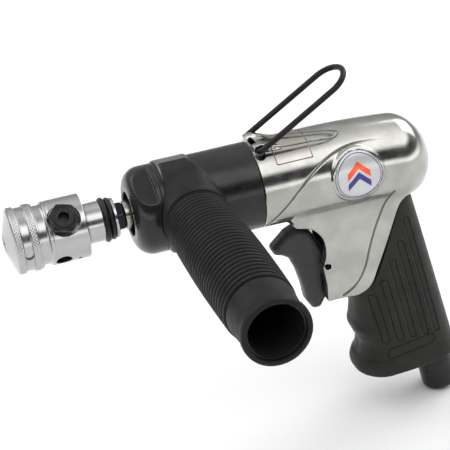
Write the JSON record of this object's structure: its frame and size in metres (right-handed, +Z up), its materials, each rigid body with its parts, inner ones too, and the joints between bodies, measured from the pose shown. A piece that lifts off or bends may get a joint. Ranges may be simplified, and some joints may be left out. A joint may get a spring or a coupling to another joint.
{
  "type": "pneumatic air hammer",
  "caption": "Pistol-grip pneumatic hammer with a screw-collar tool holder, swinging side handle, trigger throttle and a fold-down hanging bail.",
  "frame": {"origin": "mouth of the tool holder's bore, on the tool axis", "axes": "X along the tool axis with the tool leaving towards -X; +Z up; the side handle points to -Y at rest"},
  "size_m": [0.2308, 0.1628, 0.1969],
  "materials": {
    "polished_aluminium": "polished cast aluminium",
    "badge_face": "domed printed disc",
    "grip_rubber": "moulded grip rubber, satin",
    "black_housing": "satin black coating",
    "clamp_black": "matte black moulding",
    "handle_rubber": "ribbed black rubber",
    "strap_steel": "rolled strip",
    "holder_steel": "fine turned, bright",
    "black_oxide": "black oxide",
    "ground_steel": "ground steel",
    "ring_rubber": "nitrile rubber",
    "valve_steel": "machined",
    "bright_disc": "lapped steel",
    "brass_fittings": "machined brass",
    "sintered_bronze": "porous sintered bronze",
    "black_plastic": "fine moulded texture",
    "gloss_black": "gloss black"
  },
  "bodies": {
    "housing": {"motor_casing": "polished_aluminium", "badge_discs": "badge_face", "grip_cover": "grip_rubber", "front_housing": "black_housing", "nose_cap": "black_housing", "guide_sleeve": "ground_steel", "front_bumper": "ring_rubber", "buffer_sleeve": "ground_steel", "barrel": "ground_steel", "valve_chest": "valve_steel", "valve_cover": "valve_steel", "rear_gasket": "ring_rubber", "trigger_pin": "ground_steel", "throttle_guide": "brass_fittings", "throttle_seat": "brass_fittings", "throttle_plug": "brass_fittings", "throttle_spring": "ground_steel", "inlet_bush": "gloss_black", "inlet_screen": "brass_fittings", "inlet_o_ring": "ring_rubber", "exhaust_muffler": "sintered_bronze", "exhaust_cover": "black_plastic", "foot_screws": "ground_steel"},
    "spindle_unit": {"spindle": "ground_steel", "lock_nut": "black_oxide", "tool_holder": "holder_steel", "o_ring_large": "ring_rubber", "o_ring_small": "ring_rubber", "set_bolt": "black_oxide"},
    "washer": {"thrust_washer": "holder_steel"},
    "collar": {"collar_cap": "holder_steel"},
    "hammer_piston": {"piston": "ground_steel"},
    "air_valve": {"valve_disc": "bright_disc"},
    "trigger_lever": {"trigger": "black_plastic"},
    "throttle": {"throttle_stem": "ground_steel", "throttle_valve": "ring_rubber"},
    "bail": {"hanging_bail": "black_oxide"},
    "handle_clamp": {"clamp_strap": "strap_steel", "handle_saddle": "clamp_black", "clamp_stud": "ground_steel"},
    "twist_grip": {"handle_core": "black_plastic", "handle_nut": "ground_steel", "grip_sleeve": "handle_rubber"}
  },
  "joints": [
    {"name": "spindle_stroke", "type": "slide", "parent": "housing", "child": "spindle_unit", "axis": [-1, 0, 0], "range_m": [0, 0.006]},
    {"name": "collar_travel", "type": "slide", "parent": "spindle_unit", "child": "washer", "axis": [-1, 0, 0], "range_m": [0, 0.00302]},
    {"name": "collar_turn", "type": "hinge", "parent": "washer", "child": "collar", "pos_m": [0, 0, 0], "axis": [-1, 0, 0], "range_deg": [0, 720]},
    {"name": "piston_stroke", "type": "slide", "parent": "housing", "child": "hammer_piston", "axis": [1, 0, 0], "range_m": [0, 0.04]},
    {"name": "valve_flutter", "type": "slide", "parent": "housing", "child": "air_valve", "axis": [1, 0, 0], "range_m": [0, 0.0025]},
    {"name": "trigger_pull", "type": "hinge", "parent": "housing", "child": "trigger_lever", "pos_m": [0.1531, 0, -0.0487], "axis": [0, -1, 0], "range_deg": [0, 10], "stiffness_Nm_per_rad": 0.6, "springref_deg": -14.32},
    {"name": "throttle_travel", "type": "slide", "parent": "housing", "child": "throttle", "axis": [1, 0, 0], "range_m": [0, 0.0021], "deforming": ["throttle_spring"]},
    {"name": "bail_swing", "type": "hinge", "parent": "housing", "child": "bail", "pos_m": [0.1244, 0, 0.0213], "axis": [0, -1, 0], "range_deg": [-25, 70]},
    {"name": "handle_swing", "type": "hinge", "parent": "housing", "child": "handle_clamp", "pos_m": [0.086, 0, 0], "axis": [1, 0, 0], "continuous": true},
    {"name": "grip_twist", "type": "hinge", "parent": "handle_clamp", "child": "twist_grip", "pos_m": [0.086, -0.08, 0], "axis": [0, -1, 0], "range_deg": [0, 360]}
  ],
  "couplings": [
    {"joint": "throttle_travel", "follows": "trigger_pull", "m_per_rad": 0.012},
    {"joint": "collar_travel", "follows": "collar_turn", "m_per_rad": 0.00023873}
  ]
}
